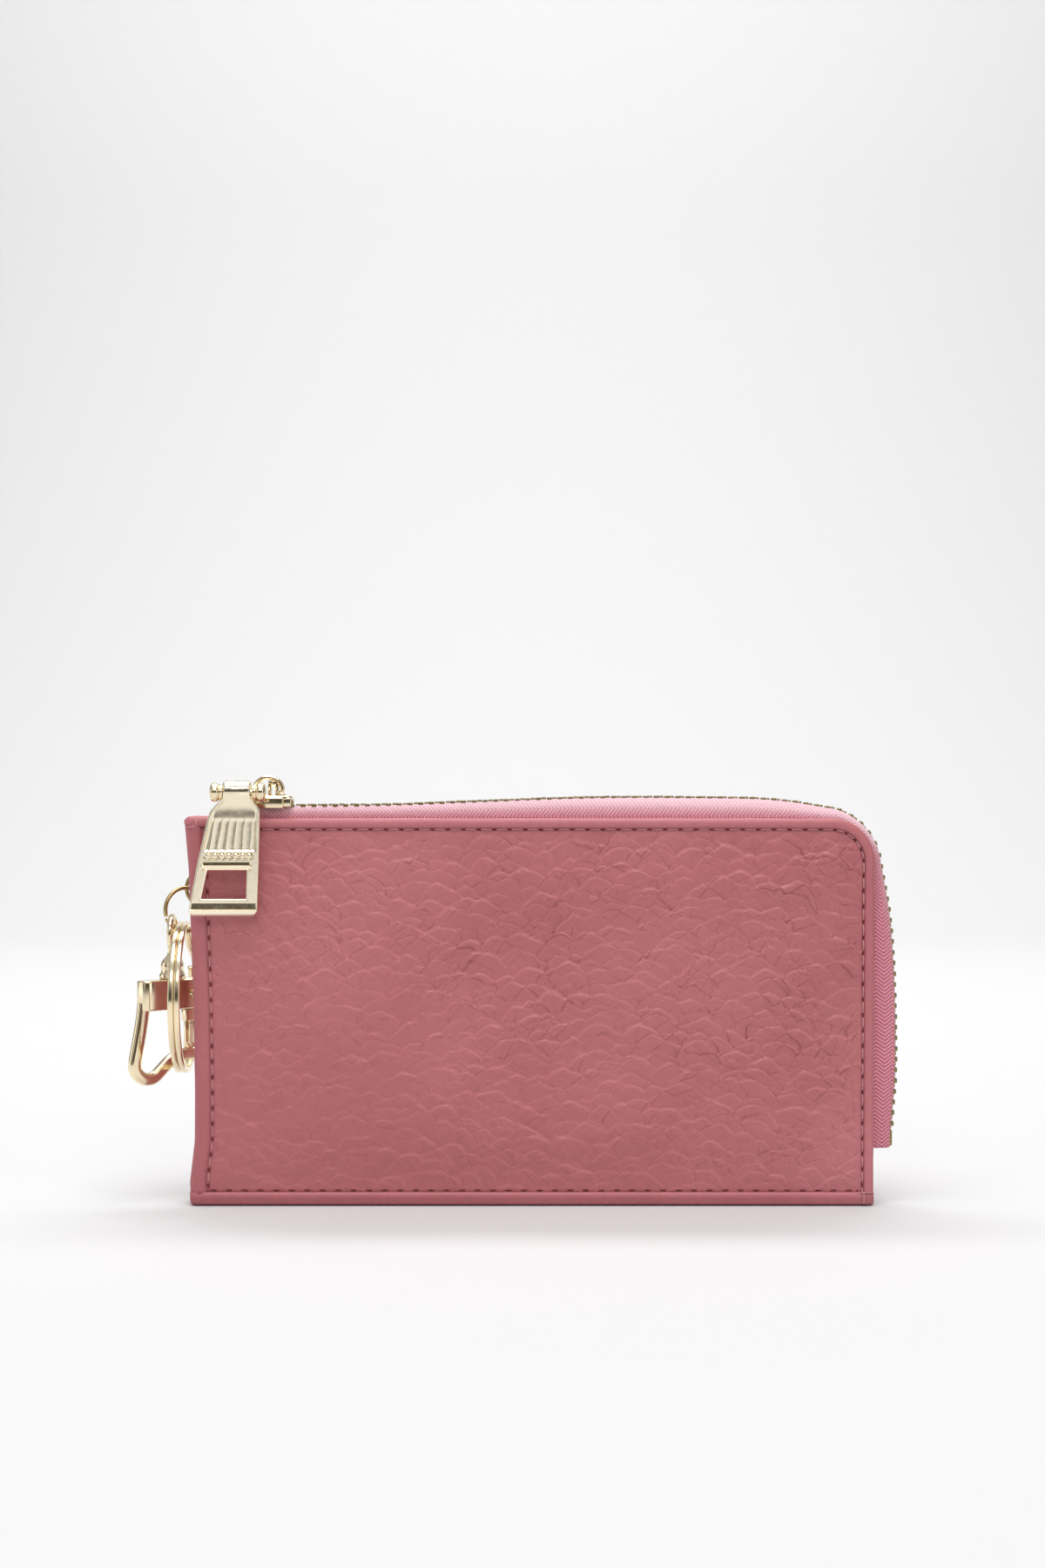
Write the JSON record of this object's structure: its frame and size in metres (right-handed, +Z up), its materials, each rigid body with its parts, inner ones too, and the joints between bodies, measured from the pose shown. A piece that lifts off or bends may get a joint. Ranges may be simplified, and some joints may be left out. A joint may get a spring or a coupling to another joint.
{
  "type": "wristlet wallet",
  "caption": "Flat leather wristlet wallet with an L-shaped zip round its top and one side, bound edges, a cast pull tab, and a key ring and swivel clasp at the left edge",
  "frame": {"origin": "centre of the flat bottom edge the wallet stands on", "axes": "X along the width to the zip's side, Y from the front panel to the back panel, Z up"},
  "size_m": [0.1683, 0.035, 0.0945],
  "materials": {
    "leather": "pebbled grain, dusty rose",
    "edge_leather": "smooth, dusty rose",
    "lining": "plain weave",
    "zip_tape": "herringbone weave",
    "thread": "twisted thread",
    "teeth": "bright",
    "gold": "polished pale gold plating",
    "dull_gold": "satin",
    "spring_steel": "drawn wire"
  },
  "bodies": {
    "wallet": {"front_leather_lower": "leather", "back_leather": "leather", "front_lining_lower": "lining", "back_lining": "lining", "front_binding_lower": "edge_leather", "back_binding": "edge_leather", "bottom_binding": "edge_leather", "left_edge_strip": "edge_leather", "front_thread_lower": "thread", "back_thread": "thread", "bottom_thread": "thread", "card_pocket_tall": "lining", "card_pocket_short": "lining", "zip_tape_back": "zip_tape", "zip_teeth_back": "teeth", "zip_end_tabs": "edge_leather", "zip_top_stops": "teeth", "zip_bottom_stop": "teeth", "ring_tab": "edge_leather", "ring_tab_thread": "thread"},
    "front_flap": {"front_leather_upper": "leather", "front_lining_upper": "lining", "front_binding_upper": "edge_leather", "front_thread_upper": "thread", "zip_tape_front": "zip_tape", "zip_teeth_front": "teeth"},
    "slider": {"slider_body": "gold", "slider_crown": "gold"},
    "link": {"pull_link": "gold", "pull_pin": "gold"},
    "tab": {"pull_tab": "gold"},
    "small_ring": {"d_ring": "dull_gold"},
    "open_ring": {"jump_ring": "dull_gold"},
    "key_ring": {"split_ring": "gold"},
    "swivel": {"clasp_eye": "gold"},
    "clasp": {"clasp_body": "gold", "gate_pin": "gold", "gate_spring": "spring_steel"},
    "gate": {"clasp_gate": "gold"}
  },
  "joints": [
    {"name": "front_panel_opening", "type": "hinge", "parent": "wallet", "child": "front_flap", "pos_m": [-0.05, -0.0048, 0.085], "axis": [0.8635, 0, -0.5043], "range_deg": [0, 28], "deforming": ["zip_tape_front", "zip_teeth_front", "zip_tape_back", "zip_teeth_back"]},
    {"name": "slider_travel", "type": "slide", "parent": "front_flap", "child": "slider", "axis": [1, 0, 0], "range_m": [0, 0.118]},
    {"name": "link_swing", "type": "hinge", "parent": "slider", "child": "link", "pos_m": [-0.0596, 0, 0.0907], "axis": [0, 1, 0], "range_deg": [0, 150]},
    {"name": "tab_swing", "type": "hinge", "parent": "link", "child": "tab", "pos_m": [-0.06405, -0.009, 0.0907], "axis": [-1, 0, 0], "range_deg": [0, 120]},
    {"name": "small_ring_swing", "type": "hinge", "parent": "wallet", "child": "small_ring", "pos_m": [-0.07, 0.0087, 0.069], "axis": [0, 0, -1], "range_deg": [0, 45]},
    {"name": "open_ring_swing", "type": "hinge", "parent": "small_ring", "child": "open_ring", "pos_m": [-0.0755, 0.0087, 0.0682], "axis": [0, 1, 0], "range_deg": [0, 25]},
    {"name": "key_ring_swing", "type": "hinge", "parent": "open_ring", "child": "key_ring", "pos_m": [-0.078, 0.0068, 0.0603], "axis": [-1, 0, 0], "range_deg": [0, 8]},
    {"name": "clasp_swing", "type": "hinge", "parent": "open_ring", "child": "swivel", "pos_m": [-0.0804, 0.0052, 0.0606], "axis": [0, 1, 0], "range_deg": [0, 10]},
    {"name": "clasp_swivel", "type": "hinge", "parent": "swivel", "child": "clasp", "pos_m": [-0.0804, 0.0052, 0.0496], "axis": [0, 0, 1], "range_deg": [-5, 12]},
    {"name": "clasp_gate_opening", "type": "hinge", "parent": "clasp", "child": "gate", "pos_m": [-0.07716, 0.00802, 0.04565], "axis": [-0.6561, 0.7547, 0], "range_deg": [0, 25], "stiffness_Nm_per_rad": 0.002, "springref_deg": -17.19}
  ],
  "couplings": [
    {"joint": "front_panel_opening", "follows": "slider_travel", "rad_per_m": 4.1415}
  ]
}
